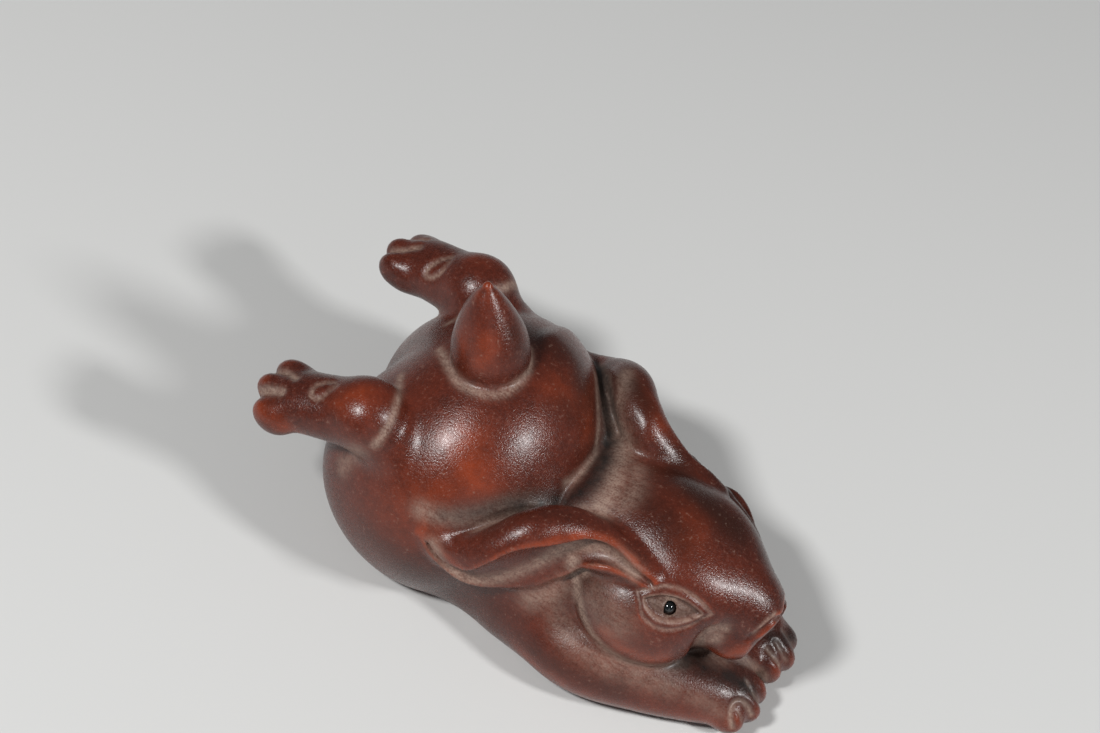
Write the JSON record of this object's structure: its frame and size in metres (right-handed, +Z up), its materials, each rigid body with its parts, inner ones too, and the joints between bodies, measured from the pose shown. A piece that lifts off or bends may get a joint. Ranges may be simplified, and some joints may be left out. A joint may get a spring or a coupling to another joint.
{
  "type": "tea pet",
  "caption": "Small clay rabbit tea pet lying on its belly, long ears laid back, tail up and hind feet kicked out behind, with dark bead pupils.",
  "frame": {"origin": "middle of the box round the rabbit, on the ground that it lies on", "axes": "+X from tail to nose, +Y to the rabbit's left, +Z up"},
  "size_m": [0.1024, 0.0538, 0.0578],
  "materials": {
    "clay": "unglazed fine red-brown clay, rubbed to a satin sheen, with pale dust in the folds",
    "bead": "polished black bead"
  },
  "bodies": {
    "root": {"body": "clay", "eye_bead_left": "bead", "eye_bead_right": "bead"}
  },
  "joints": []
}
